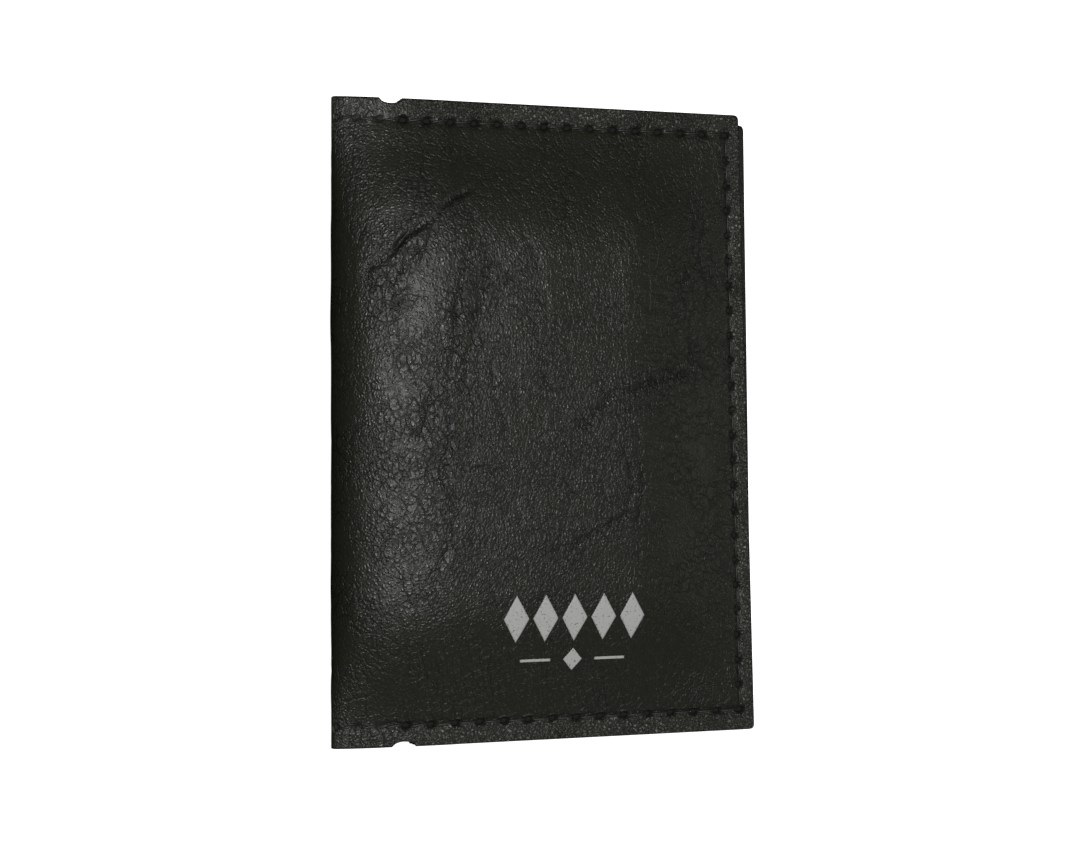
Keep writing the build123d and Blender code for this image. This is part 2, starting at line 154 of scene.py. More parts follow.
class CardCaseSizes(bpy.types.PropertyGroup):
    """Sizes in millimetres."""
    leather: size_prop("Cover thickness", "Thickness of the cover sheet", 0.8)
    lining: size_prop("Lining thickness", "Thickness of the lining cloth", 0.2)
    foam: size_prop("Padding thickness", "Thickness of the foam under the cover", 0.6)
    fold_reach: size_prop("Fold reach", "How far the soft fold bulges in from the spine", 19.0)
    end_height: size_prop("End height", "Half thickness of the spine at head and tail", 3.7)
    crown_head: size_prop("Head slope", "Width of the crown's slope at head and tail", 21.0)
    crown_fore: size_prop("Fore slope", "Width of the crown's slope at the fore edge", 20.0)
    front_width: size_prop("Front fore edge", "Fore edge of the front half, middle", FRONT_FORE + 0.35)
    front_lean: size_prop("Front lean", "Half of how far the front fore edge leans", 1.5)
    back_width: size_prop("Back fore edge", "Fore edge of the back half, middle", BACK_FORE - 0.1)
    back_lean: size_prop("Back lean", "Half of how far the back fore edge leans", 0.8)
    back_drop: size_prop("Back drop", "Drop of the back half's head edge at the fore corner", 1.4)
    corner: size_prop("Corner radius", "Radius of the fore corners", 0.8)
    nick_width: size_prop("Nick width", "Width of the half-moon nicks", 3.7)
    nick_depth: size_prop("Nick depth", "Depth of the half-moon nicks", 0.85)
    thread: size_prop("Thread", "Diameter of the sewing thread", 0.48)
    grain: size_prop("Grain", "Width of one pebble of the grain", 0.58)
    crease_depth: size_prop("Crease depth", "Depth of the large creases", 0.2)
    stamp_x: size_prop("Stamp X", "Middle of the stamp across the cover", 2.4)
    stamp_y: size_prop("Stamp Y", "Middle of the stamp's upper row", -32.0)


class CardCaseColours(bpy.types.PropertyGroup):
    """Colours."""
    leather: colour_prop("Leather", "Raised grain of the cover", "292A21")
    # the crease colour is painted shade for the grain's hollows and crease cores; the rims' pale colour is
    # partly wear and partly a painted highlight on the raised pebbles
    leather_hollow_shade: colour_prop("Leather creases", "Bottom of the creases", "0E0E0A")
    rubbed_and_highlight: colour_prop("Rubbed edges", "Rims and ridges, rubbed paler", "93958B")
    edge: colour_prop("Edge paint", "Cut edges", "0D0D0C")
    pocket: colour_prop("Pocket", "Pocket panels", "1D1E1B")
    lining: colour_prop("Lining", "Lining cloth", "171716")
    thread: colour_prop("Thread", "Sewing thread", "2E2E29")
    foam: colour_prop("Foam", "Padding", "8C8C86")
    foil: colour_prop("Foil", "Stamped foil", "BEBFBB")
    floor: colour_prop("Floor", "Studio floor", "F7F7F7")


def sizes():
    return bpy.context.scene.card_case_sizes


def colours():
    return bpy.context.scene.card_case_colours


# ---- the shape of the sewn cover -------------------------------------------------------------

def ramp(value):
    """Smooth step from 0 to 1."""
    t = np.clip(value, 0.0, 1.0)
    return t * t * (3 - 2 * t)


def rim_height():
    s = sizes()
    return PANEL_OUT + s.lining + s.leather


def fore_edge(side):
    return sizes().front_width if side == FRONT else sizes().back_width


def seam_x(side):
    """The fore row of stitches, in the half's own upright outline."""
    return SEAM_X + (fore_edge(side) - FRONT_FORE if side == FRONT else BACK_FIT)


def crown_height(x, y, side):
    """Height of the outer skin above the middle of the case."""
    s = sizes()
    open_end = ramp((RIM_END - x) / (RIM_END - MOUTH_X))
    foot_y = SEAM_Y - CROWN_FOOT + open_end * CROWN_FOOT
    foot = rim_height() + open_end * (s.end_height - rim_height())
    foot = foot - END_DROP * open_end * np.clip((np.abs(y) - foot_y) / (HALF_H - foot_y), 0, 1)
    slope_y = s.crown_head + open_end * END_SLOPE
    lift_y = swell((foot_y - np.abs(y)) / slope_y)
    lift_x = swell((seam_x(side) - CROWN_FOOT - x) / s.crown_fore)
    fore_fall = FORE_FALL * np.clip((x + FALL_FROM) / FALL_RUN, 0, 1) ** 1.3
    plateau = MID - fore_fall - HEAD_FALL * (y / HEAD_RUN) ** 2
    return foot + (plateau - foot) * lift_y * lift_x


def swell(value):
    """Rise of the padded cover inside a seam: gentle at the stitches, then full."""
    return np.sin(np.clip(value, 0, 1) * math.pi / 2) ** 1.25


FOLD_TURNS = np.linspace(0, math.pi / 2, 241)


def fold_end():
    """Where the fold's bulge ends and the cover lies flat."""
    return LEFT + sizes().fold_reach


def fold_lengths():
    """Length of sheet from the middle of the spine to each of FOLD_TURNS, half way up the case."""
    step = np.hypot(sizes().fold_reach * np.sin(FOLD_TURNS), MID * np.cos(FOLD_TURNS))
    gaps = (step[1:] + step[:-1]) / 2 * np.diff(FOLD_TURNS)
    return np.concatenate([[0.0], np.cumsum(gaps)])


def x_of(u):
    """Place across the case of a sheet coordinate."""
    lengths = fold_lengths()
    inside = LEFT + sizes().fold_reach * (1 - np.cos(np.interp(u, lengths, FOLD_TURNS)))
    return np.where(u < lengths[-1], inside, fold_end() + u - lengths[-1])


def u_of(x):
    """Sheet coordinate of a place across the case."""
    lengths = fold_lengths()
    turn = np.arccos(np.clip(1 - (x - LEFT) / sizes().fold_reach, 0, 1))
    inside = np.interp(turn, FOLD_TURNS, lengths)
    return np.where(x >= fold_end(), lengths[-1] + x - fold_end(), inside) + 0.0


def place(u, y, side, depth):
    """Point of the sheet in millimetres: u runs round the fold from the middle of the spine and
    then across the cover, y from tail to head, and depth is measured in from the outer skin."""
    reach = sizes().fold_reach
    u, y, depth = np.broadcast_arrays(*(np.asarray(a, float) for a in (u, y, depth)))
    lengths = fold_lengths()
    height = crown_height(np.full_like(y, fold_end()), y, side)
    turn = np.interp(u, lengths, FOLD_TURNS)
    out_x, out_z = np.cos(turn) / reach, np.sin(turn) / height
    norm = np.hypot(out_x, out_z)
    x = LEFT + reach * (1 - np.cos(turn)) + depth * out_x / norm
    z = height * np.sin(turn) - depth * out_z / norm
    x_far = fold_end() + u - lengths[-1]
    x = np.where(u > lengths[-1], x_far, x)
    z = np.where(u > lengths[-1], crown_height(x_far, y, side) - depth, z)
    return leaned(x, y, z, side)


def leaned(x, y, z, side):
    """The half's own lean, from its upright outline to its place in the case."""
    s = sizes()
    lean = s.front_lean if side == FRONT else s.back_lean
    reach = (x - LEFT) / (fore_edge(side) - LEFT)
    x_out = x - lean * reach * y / HALF_H
    drop = s.back_drop if side == BACK else 0.0
    tapered = y * (1 - FORE_TAPER * np.clip(reach, 0, 1))
    y_out = tapered - drop * ramp((x - RIM_END) / FALL_RUN) * np.clip(y / HALF_H, 0, 1)
    return np.stack([x_out, y_out, MID + side * z], axis=-1) * MM


# ---- stitches --------------------------------------------------------------------------------

def head_holes(side):
    """Sheet coordinates of the holes of the head and tail rows, from the corner to the spine."""
    pitch = (seam_x(side) - MOUTH_X - FIRST_HOLE) / HEAD_STITCHES
    first = u_of(seam_x(side))
    count = int(first / pitch)
    return [first - pitch * k for k in range(count + 1)]


def fore_holes():
    return [SEAM_Y - 2 * SEAM_Y / FORE_STITCHES * k for k in range(FORE_STITCHES + 1)]


def hole_spots(side):
    """Every stitch hole of a half as (u, y)."""
    rows = [(u, y) for y in (SEAM_Y, -SEAM_Y) for u in head_holes(side)]
    return rows + [(u_of(seam_x(side)), y) for y in fore_holes()[1:-1]]


# ---- relief of the leather -------------------------------------------------------------------

CREASES = (
    # from x, y to x, y, depth share, half width in mm
    (-30.5, 25, -23, 32, 2.4, 0.5),
    (-23, 32, -14, 38.5, 2.0, 0.5),
    (-29, 22.5, -21, 30, 0.6, 0.6),
    (-31, 24, -27, 18, 0.6, 0.6),
    (-11, 27, -14.5, 16, 0.55, 0.45),
    (-14, 29, -17.5, 14, 0.6, 0.45),
    (-16.5, 22, -19.5, 6, 0.75, 0.45),
    (-14.5, 16, -17.5, 4, 0.6, 0.45),
    (-19.5, 6, -25, -3, 0.7, 0.5),
    (-17.5, 4, -20, -6, 0.55, 0.5),
    (-20, -6, -19, -15, 0.6, 0.5),
    (-20, -6, -9.5, -7.5, 0.5, 0.45),
    (-20, -6, -27, -9, 0.4, 0.5),
    (-18, -16, -22, -25, 0.5, 0.55),
    (-10, 22, -2, 27, 0.35, 0.5),
    (-11, 10, -9, -3, 0.4, 0.5),
    (-5, 16, -1, 5, 0.35, 0.5),
    (3.5, -1, 10.5, 5, 0.8, 0.45),
    (10.5, 5, 23, 9, 0.8, 0.42),
    (9, 1, 20, 4.5, 0.35, 0.5),
    (11, -2, 12, -14, 0.55, 0.5),
    (13.5, -4, 14.5, -18, 0.45, 0.5),
    (0, -20.5, 13, -15.5, 0.6, 0.5),
    (-14, -19, 0, -20.5, 0.35, 0.5),
    (25, 40, 26.2, 24, 0.4, 0.4),
    (27.2, 37, 27.8, 18, 0.4, 0.4),
    (23.4, 33, 24.4, 14, 0.35, 0.4),
    (26, 22, 25, 6, 0.3, 0.4),
    (3.6, 42, 1, 34, 0.35, 0.5),
    (14, 22, 24, 16, 0.3, 0.5),
    (-12, -30, 4, -28, 0.3, 0.5),
)


def net_field(points, scale, seed):
    """How far each (u, y) lies from the lines of a net with cells about scale millimetres wide."""
    shift = Vector((3.7 * seed, 11.9 * seed, 6.1 * seed))
    gaps = []
    for a, b in points:
        near, _ = noise.voronoi(Vector((a / scale, b / scale, 0)) + shift)
        gaps.append((near[1] - near[0]) * scale)
    return np.array(gaps)


def noise_field(points, scale, seed):
    """Smooth noise at each (u, y), one swell each scale millimetres."""
    shift = Vector((17.3 * seed, 5.1 * seed, 2.7 * seed))
    return np.array([noise.noise(Vector((a / scale, b / scale, 0)) + shift) for a, b in points])


def relief(u, y, side):
    """Four fields of the skin: its height with creases, puckers and stitch holes, in millimetres;
    and from 0 to 1, how far inside a hole a point lies, which sets the holes' painted shade, how
    finely wrinkled it is, and how far down in a large crease, which sets the crease cores' painted shade."""
    s = sizes()
    shape = np.shape(u)
    u, y = np.ravel(u), np.ravel(y)
    x = x_of(u)
    points = np.stack([u * side, y], axis=1)
    warp = noise_field(points, 9, 3 + side)
    warp_2 = noise_field(points, 5, 8 + side)
    inner = ramp((SEAM_Y - 1.5 - np.abs(y)) / 5) * ramp((seam_x(side) - 1.5 - x) / 4)
    height = 0.16 * inner * noise_field(points, 11, 1 + side)
    bent = np.stack([u * side + 2.6 * warp, (y + 2.6 * warp_2) * 0.42], axis=1)
    for cell, width, depth, seed in ((6.5, 0.6, 0.07, 21), (3.4, 0.42, 0.035, 31)):
        patchy = ramp(0.4 + 1.8 * noise_field(points, 14, seed + 5))
        gap = net_field(bent, cell, seed + side)
        height -= depth * patchy * np.exp(-(gap / width) ** 2) * (0.15 + 0.85 * inner)
    flex = np.zeros_like(u)
    # how much painted shade darkens each crease core
    line = np.zeros_like(u)
    if side == FRONT:
        uneven = 0.75 + 0.9 * noise_field(points, 4, 71)
        for x0, y0, x1, y1, share, width in CREASES:
            a, b = np.array([x0, y0], float), np.array([x1, y1], float)
            away = np.stack([x + 1.8 * warp_2, y + 1.8 * warp], axis=1) - a
            t = away @ (b - a) / ((b - a) @ (b - a))
            off = np.linalg.norm(away - np.clip(t, 0, 1)[:, None] * (b - a), axis=1)
            fade = ramp(np.clip(t + 0.18, 0, 1) / 0.35) * ramp(np.clip(1.18 - t, 0, 1) / 0.35)
            dip = np.exp(-(off / width) ** 2) - 0.2 * np.exp(-((off - 2.0 * width) / width) ** 2)
            height -= s.crease_depth * share * fade * dip * np.clip(uneven, 0.1, 1.2)
            core = min(share, 1.0) * fade * np.exp(-(off / (0.8 * width)) ** 2)
            line = np.maximum(line, core * np.clip(uneven, 0.3, 1))
            flex = np.maximum(flex, (share if share < 1 else 0.25) * 1.3 * fade * np.exp(-(off / 2.6) ** 2))
    off_y = np.abs(np.abs(y) - SEAM_Y)
    off_x = np.abs(x - seam_x(side))
    on_head = (x < seam_x(side) + 1) * ramp((x - MOUTH_X + 6) / 6)
    on_fore = np.abs(y) < SEAM_Y + 1
    head_dip = np.exp(-(off_y / SEAM_REACH) ** 2) * on_head
    fore_dip = np.exp(-(off_x / SEAM_REACH) ** 2) * on_fore
    height -= SEAM_DIP * np.maximum(head_dip, fore_dip)
    # painted shade for the stitch holes: how dark each point inside a hole is coloured
    pits = np.zeros_like(u)
    for hole_u, hole_y in hole_spots(side):
        near = (np.abs(u - hole_u) < HOLE_FAR) & (np.abs(y - hole_y) < HOLE_FAR)
        long_u = HOLE_LONG if abs(abs(hole_y) - SEAM_Y) < 0.01 else 1.0
        away = np.hypot((u[near] - hole_u) / long_u, y[near] - hole_y)
        share = 1.0 if hole_u > u_of(MOUTH_X) - 0.6 else SPINE_HOLES
        pits[near] = np.maximum(pits[near], share * np.exp(-(away / PIT_RADIUS) ** 6))
        hole = HOLE_DEPTH * np.exp(-(away / HOLE_RADIUS) ** 4)
        dish = DISH_DEPTH * np.exp(-(away / DISH_RADIUS) ** 2)
        height[near] -= share * (hole + dish)
    return [values.reshape(shape) for values in (height, pits, flex, line)]


# ---- mesh helpers ----------------------------------------------------------------------------

def stops(low, high, step, dense):
    """Grid lines from low to high, step apart, closer together round each dense (place, reach,
    step), and close to both ends."""
    values = [low]
    while values[-1] < high - 1e-6:
        here = values[-1]
        gap = step
        for where, reach, fine in dense:
            if abs(here + fine / 2 - where) < reach:
                gap = min(gap, fine)
        values.append(min(here + gap, high))
    if values[-1] - values[-2] < 0.3 * step and len(values) > 2:
        values.pop(-2)
    return np.array(values)


def new_grid(name, across, along, mapping, material_list, flip=False):
    """A grid mesh whose columns and rows lie at across and along, with every vertex moved by
    mapping(across value, along value), which gives points in metres.  The sheet coordinates are
    kept as the attribute sheet_place, in metres, for the patterns."""
    bm = bmesh.new()
    bmesh.ops.create_grid(bm, x_segments=len(across) - 1, y_segments=len(along) - 1, size=1.0)
    if flip:
        bmesh.ops.reverse_faces(bm, faces=bm.faces)
    mesh = bpy.data.meshes.new(name)
    bm.to_mesh(mesh)
    bm.free()
    flat = np.zeros(len(mesh.vertices) * 3)
    mesh.vertices.foreach_get("co", flat)
    flat = flat.reshape(-1, 3)
    column = np.rint((flat[:, 0] + 1) / 2 * (len(across) - 1)).astype(int)
    row = np.rint((flat[:, 1] + 1) / 2 * (len(along) - 1)).astype(int)
    a, b = across[column], along[row]
    mesh.vertices.foreach_set("co", mapping(a, b).astype(np.float32).ravel())
    place_attribute = mesh.attributes.new("sheet_place", "FLOAT_VECTOR", "POINT")
    sheet = np.stack([a, b, np.zeros_like(a)], axis=1) * MM
    place_attribute.data.foreach_set("vector", sheet.astype(np.float32).ravel())
    mesh.polygons.foreach_set("use_smooth", np.ones(len(mesh.polygons), bool))
    for material in material_list:
        mesh.materials.append(material)
    mesh.update()
    made = bpy.data.objects.new(name, mesh)
    bpy.context.scene.collection.objects.link(made)
    return made, a, b


def set_float(piece, name, values):
    """A per-vertex number that a material reads."""
    attribute = piece.data.attributes.new(name, "FLOAT", "POINT")
    attribute.data.foreach_set("value", np.asarray(values, np.float32).ravel())


def thicken(piece, thickness, rim_material=0):
    """Solidify inwards from the outer face."""
    solid = piece.modifiers.new("thickness", "SOLIDIFY")
    solid.thickness = thickness * MM
    solid.offset = -1.0
    solid.material_offset_rim = rim_material


def rounded_outline(u, y, far_u):
    """Moves grid points so that the fore corners are round and the nicks are cut: the outline
    that all the sewn layers of a half share."""
    s = sizes()
    r = s.corner
    px, py = u - (far_u - r), np.abs(y) - (HALF_H - r)
    inside = (px > 0) & (py > 0)
    length = np.maximum(np.hypot(px, py), 1e-9)
    scale = np.where(inside, np.maximum(px, py) / length, 1.0)
    u = np.where(inside, far_u - r + px * scale, u)
    y = np.where(inside, np.sign(y) * (HALF_H - r + py * scale), y)
    off = (u - u_of(MOUTH_X) + NICK_SHIFT * (y > 0)) / (s.nick_width / 2)
    bite = s.nick_depth * np.sqrt(np.clip(1 - off ** 2, 0, 1))
    reach = np.clip(1 - (HALF_H - np.abs(y)) / 2.6, 0, 1)
    return u, y - np.sign(y) * bite * reach


def edge_round(u, y, far_u, radius=0.3):
    """How far the skin rolls down at a cut edge."""
    off = np.minimum(far_u - u, HALF_H - np.abs(y))
    t = np.clip(1 - off / radius, 0, 1)
    return radius * (1 - np.sqrt(np.clip(1 - t ** 2, 0, 1)))


# ---- materials -------------------------------------------------------------------------------

def node(tree, kind, settings=None, inputs=None):
    """Adds a node, sets its properties and its sockets; an input that is a socket is linked."""
    made = tree.nodes.new(kind)
    for key, value in (settings or {}).items():
        setattr(made, key, value)
    for key, value in (inputs or {}).items():
        if isinstance(value, bpy.types.NodeSocket):
            tree.links.new(value, made.inputs[key])
        else:
            made.inputs[key].default_value = value
    return made


def rgba(colour):
    return (*colour, 1.0)


def new_material(name):
    """An empty node material and its tree, with the output node."""
    material = bpy.data.materials.new(name)
    material.use_nodes = True
    tree = material.node_tree
    tree.nodes.clear()
    return material, tree, node(tree, "ShaderNodeOutputMaterial")


def crackled_polyurethane(name, grain, colour, low, rubbed_and_highlight, relief_mm, rough):
    """Polyurethane-coated sheet embossed with a crackled leather grain: small shiny pebbles
    between fine dull lines, branching wrinkles where it has been flexed, and paler where
    it is handled. Painted shade colours the grain's hollows and the crease cores darker and the
    stitch holes near black; the raised pebbles of the rims are paler also as a painted highlight."""
    material, tree, output = new_material(name)
    place_uv = node(tree, "ShaderNodeAttribute", {"attribute_name": "sheet_place"}).outputs["Vector"]
    pit = node(tree, "ShaderNodeAttribute", {"attribute_name": "pit"}).outputs["Fac"]
    rim = node(tree, "ShaderNodeAttribute", {"attribute_name": "rim"}).outputs["Fac"]
    flex = node(tree, "ShaderNodeAttribute", {"attribute_name": "flex"}).outputs["Fac"]
    line = node(tree, "ShaderNodeAttribute", {"attribute_name": "line"}).outputs["Fac"]

    def maths(operation, first, second, third=0.0):
        return node(tree, "ShaderNodeMath", {"operation": operation},
                    {0: first, 1: second, 2: third}).outputs[0]

    def ranged(value, low_in, high_in, low_out, high_out, smooth=True):
        return node(tree, "ShaderNodeMapRange", {"interpolation_type": "SMOOTHSTEP" if smooth else "LINEAR"},
                    {"Value": value, "From Min": low_in, "From Max": high_in,
                     "To Min": low_out, "To Max": high_out}).outputs[0]

    def bent_by(width_mm, amount_mm):
        """The sheet's own place, pushed about by a swirl width_mm wide."""
        swirl = node(tree, "ShaderNodeTexNoise", None,
                     {"Vector": place_uv, "Scale": 1 / (width_mm * MM), "Detail": 2.0})
        centred = node(tree, "ShaderNodeVectorMath", {"operation": "SUBTRACT"},
                       {0: swirl.outputs["Color"], 1: (0.5, 0.5, 0.5)})
        moved = node(tree, "ShaderNodeVectorMath", {"operation": "SCALE"},
                     {0: centred.outputs[0], "Scale": amount_mm * MM})
        return node(tree, "ShaderNodeVectorMath", {"operation": "ADD"},
                    {0: place_uv, 1: moved.outputs[0]}).outputs[0]

    def net(cell_mm, line_share, turn=0.0, stretch=1.0, bend=1.0):
        """A net of branching lines: 0 in the lines and 1 on the cells between them."""
        turned = node(tree, "ShaderNodeMapping", None,
                      {"Vector": bent_by(cell_mm * 1.3, cell_mm * bend),
                       "Rotation": (0, 0, math.radians(turn)), "Scale": (1.0, stretch, 1.0)})
        cells = node(tree, "ShaderNodeTexVoronoi", {"feature": "DISTANCE_TO_EDGE"},
                     {"Vector": turned.outputs[0], "Scale": 1 / (cell_mm * MM)})
        return ranged(cells.outputs["Distance"], 0.0, line_share, 0.0, 1.0)

    def patches(width_mm, low_in, high_in):
        """Where a layer shows, from 0 to 1."""
        field = node(tree, "ShaderNodeTexNoise", None,
                     {"Vector": place_uv, "Scale": 1 / (width_mm * MM), "Detail": 2.0})
        return ranged(field.outputs["Fac"], low_in, high_in, 0.0, 1.0)

    pores = node(tree, "ShaderNodeTexNoise", None,
                 {"Vector": place_uv, "Scale": 3.0 / (grain * MM), "Detail": 1.0})
    wear = patches(9, 0.3, 0.6)
    pebbles = net(grain, 0.45, bend=0.7)
    beads = net(grain * 1.1, 0.55, bend=0.6)
    height = maths("MULTIPLY", pores.outputs["Fac"], 0.12)
    height = maths("MULTIPLY_ADD", pebbles, 0.6, height)
    layers = ((net(grain * 2.1, 0.13, 6, 0.75), maths("MAXIMUM", flex, patches(7, 0.36, 0.56)), 0.6),
              (net(grain * 2.7, 0.09, -28, 0.5), flex, 1.0),
              (net(grain * 4.6, 0.06, 10, 0.4), patches(12, 0.47, 0.64), 0.5),
              (net(grain * 6.0, 0.045, -42, 0.4), patches(15, 0.49, 0.66), 0.5))
    for layer, shown, depth in layers:
        height = maths("MULTIPLY_ADD", maths("MULTIPLY", layer, shown), depth, height)
        height = maths("MULTIPLY_ADD", shown, -depth, height)
    raised = maths("MULTIPLY_ADD", maths("MULTIPLY", beads, rim), 3.0, height)
    bump = node(tree, "ShaderNodeBump", None, {"Height": raised, "Strength": 1.0, "Distance": relief_mm * MM})
    # painted shade: the grain's low parts and the crease cores are coloured darker, towards the crease colour
    hollow_shade_tone = ranged(maths("MULTIPLY_ADD", line, -1.5, height), -0.8, 0.5, 0.0, 1.0, smooth=False)
    base = node(tree, "ShaderNodeMix", {"data_type": "RGBA"}, {"Factor": hollow_shade_tone, 6: rgba(low), 7: rgba(colour)})
    # paler towards the rims' colour in patches of wear, and brightest on the raised pebbles as a painted
    # highlight
    worn_and_highlit = node(tree, "ShaderNodeMix", {"data_type": "RGBA"},
                {"Factor": maths("MULTIPLY", maths("MULTIPLY", rim, wear), maths("POWER", beads, 1.8)),
                 6: base.outputs[2], 7: rgba(rubbed_and_highlight)})
    # painted shade: the stitch holes are coloured near black
    hole_shaded = node(tree, "ShaderNodeMix", {"data_type": "RGBA"},
                 {"Factor": pit, 6: worn_and_highlit.outputs[2], 7: HOLE_SHADE})
    gloss = ranged(height, -0.5, 0.6, rough + 0.22, rough, smooth=False)
    dulled = node(tree, "ShaderNodeMath", {"operation": "MULTIPLY_ADD", "use_clamp": True},
                  {0: pit, 1: 0.5, 2: gloss}).outputs[0]
    shader = node(tree, "ShaderNodeBsdfPrincipled", None,
                  {"Base Color": hole_shaded.outputs[2], "Roughness": dulled, "Normal": bump.outputs[0],
                   "Specular IOR Level": 0.35})
    tree.links.new(shader.outputs[0], output.inputs["Surface"])
    return material


def edge_paint():
    """Acrylic edge paint: a dull, near black line, slightly rough from the brush."""
    material, tree, output = new_material("acrylic_edge_paint")
    place_uv = node(tree, "ShaderNodeAttribute", {"attribute_name": "sheet_place"}).outputs["Vector"]
    brush = node(tree, "ShaderNodeTexNoise", None,
                 {"Vector": place_uv, "Scale": 1 / (0.6 * MM), "Detail": 3.0})
    bump = node(tree, "ShaderNodeBump", None,
                {"Height": brush.outputs["Fac"], "Strength": 0.6, "Distance": 0.05 * MM})
    shade = node(tree, "ShaderNodeMix", {"data_type": "RGBA"},
                 {"Factor": brush.outputs["Fac"], 6: rgba(colours().edge), 7: rgba(linear("1C1C1A"))})
    shader = node(tree, "ShaderNodeBsdfPrincipled", None,
                  {"Base Color": shade.outputs[2], "Roughness": 0.6, "Normal": bump.outputs[0]})
    tree.links.new(shader.outputs[0], output.inputs["Surface"])
    return material


def woven_polyester():
    """Plain-woven polyester lining: fine square weave, dull, with a slight sheen."""
    material, tree, output = new_material("woven_polyester_lining")
    place_uv = node(tree, "ShaderNodeAttribute", {"attribute_name": "sheet_place"}).outputs["Vector"]
    # yarns are really about 0.15 mm apart; they are drawn 0.4 mm apart so that they show
    per_yarn = 2 * math.pi / (0.4 * MM) / 20
    warp = node(tree, "ShaderNodeTexWave", {"bands_direction": "X"}, {"Vector": place_uv, "Scale": per_yarn})
    weft = node(tree, "ShaderNodeTexWave", {"bands_direction": "Y"}, {"Vector": place_uv, "Scale": per_yarn})
    weave = node(tree, "ShaderNodeMath", {"operation": "MULTIPLY"},
                 {0: warp.outputs["Fac"], 1: weft.outputs["Fac"]})
    bump = node(tree, "ShaderNodeBump", None,
                {"Height": weave.outputs[0], "Strength": 0.7, "Distance": 0.06 * MM})
    shade = node(tree, "ShaderNodeMix", {"data_type": "RGBA"},
                 {"Factor": weave.outputs[0], 6: rgba(linear("0B0B0B")), 7: rgba(colours().lining)})
    shader = node(tree, "ShaderNodeBsdfPrincipled", None,
                  {"Base Color": shade.outputs[2], "Roughness": 0.85, "Normal": bump.outputs[0],
                   "Sheen Weight": 0.15, "Sheen Roughness": 0.5})
    tree.links.new(shader.outputs[0], output.inputs["Surface"])
    return material


def bonded_thread():
    """Bonded polyester sewing thread: twisted plies with a low waxy sheen."""
    material, tree, output = new_material("bonded_polyester_thread")
    place_object = node(tree, "ShaderNodeTexCoord").outputs["Object"]
    fibre = node(tree, "ShaderNodeTexNoise", None,
                 {"Vector": place_object, "Scale": 1 / (0.15 * MM), "Detail": 2.0})
    bump = node(tree, "ShaderNodeBump", None,
                {"Height": fibre.outputs["Fac"], "Strength": 0.4, "Distance": 0.04 * MM})
    shade = node(tree, "ShaderNodeMix", {"data_type": "RGBA"},
                 {"Factor": fibre.outputs["Fac"], 6: rgba(linear("0C0C0A")), 7: rgba(colours().thread)})
    shader = node(tree, "ShaderNodeBsdfPrincipled", None,
                  {"Base Color": shade.outputs[2], "Roughness": 0.5, "Normal": bump.outputs[0]})
    tree.links.new(shader.outputs[0], output.inputs["Surface"])
    return material


def open_cell_foam():
    """Open-cell polyurethane foam: pale grey, dull and pitted."""
    material, tree, output = new_material("open_cell_foam")
    place_uv = node(tree, "ShaderNodeAttribute", {"attribute_name": "sheet_place"}).outputs["Vector"]
    cells = node(tree, "ShaderNodeTexVoronoi", None, {"Vector": place_uv, "Scale": 1 / (0.5 * MM)})
    bump = node(tree, "ShaderNodeBump", None,
                {"Height": cells.outputs["Distance"], "Strength": 0.8, "Distance": 0.1 * MM})
    shade = node(tree, "ShaderNodeMix", {"data_type": "RGBA"},
                 {"Factor": cells.outputs["Distance"], 6: rgba(colours().foam), 7: rgba(linear("6A6A66"))})
    shader = node(tree, "ShaderNodeBsdfPrincipled", None,
                  {"Base Color": shade.outputs[2], "Roughness": 0.95, "Normal": bump.outputs[0]})
    tree.links.new(shader.outputs[0], output.inputs["Surface"])
    return material


def hot_stamped_foil():
    """Hot-stamped pigment foil: silver grey, satin, broken where the grain's creases lie."""
    material, tree, output = new_material("hot_stamped_foil")
    place_uv = node(tree, "ShaderNodeAttribute", {"attribute_name": "sheet_place"}).outputs["Vector"]
    cells = node(tree, "ShaderNodeTexVoronoi", {"feature": "DISTANCE_TO_EDGE"},
                 {"Vector": place_uv, "Scale": 1 / (0.9 * MM)})
    speck = node(tree, "ShaderNodeTexNoise", None,
                 {"Vector": place_uv, "Scale": 1 / (0.35 * MM), "Detail": 4.0})
    cover = node(tree, "ShaderNodeMath", {"operation": "MULTIPLY_ADD"},
                 {0: cells.outputs["Distance"], 1: 1.2, 2: speck.outputs["Fac"]}).outputs[0]
    whole = node(tree, "ShaderNodeMapRange", {"interpolation_type": "SMOOTHSTEP"},
                 {"Value": cover, "From Min": 0.34, "From Max": 0.5}).outputs[0]
    shade = node(tree, "ShaderNodeMix", {"data_type": "RGBA"},
                 {"Factor": whole, 6: rgba(linear("4A4B48")), 7: rgba(colours().foil)})
    bump = node(tree, "ShaderNodeBump", None, {"Height": cover, "Strength": 0.6, "Distance": 0.08 * MM})
    shader = node(tree, "ShaderNodeBsdfPrincipled", None,
                  {"Base Color": shade.outputs[2], "Roughness": 0.5, "Normal": bump.outputs[0]})
    tree.links.new(shader.outputs[0], output.inputs["Surface"])
    return material


def studio_paper():
    """Matt white studio paper that glows evenly."""
    material, tree, output = new_material("studio_paper")
    shader = node(tree, "ShaderNodeBsdfPrincipled", None,
                  {"Base Color": rgba(colours().floor), "Roughness": 1.0, "Specular IOR Level": 0.0,
                   "Emission Color": (1, 1, 1, 1), "Emission Strength": 1.0})
    tree.links.new(shader.outputs[0], output.inputs["Surface"])
    return material


def shared(make, *key):
    """Makes a material once and gives the same one after that."""
    wanted = "_".join([make.__name__, *map(str, key)])
    found = [m for m in bpy.data.materials if m.get("made_by") == wanted]
    if found:
        return found[0]
    made = make()
    made["made_by"] = wanted
    return made


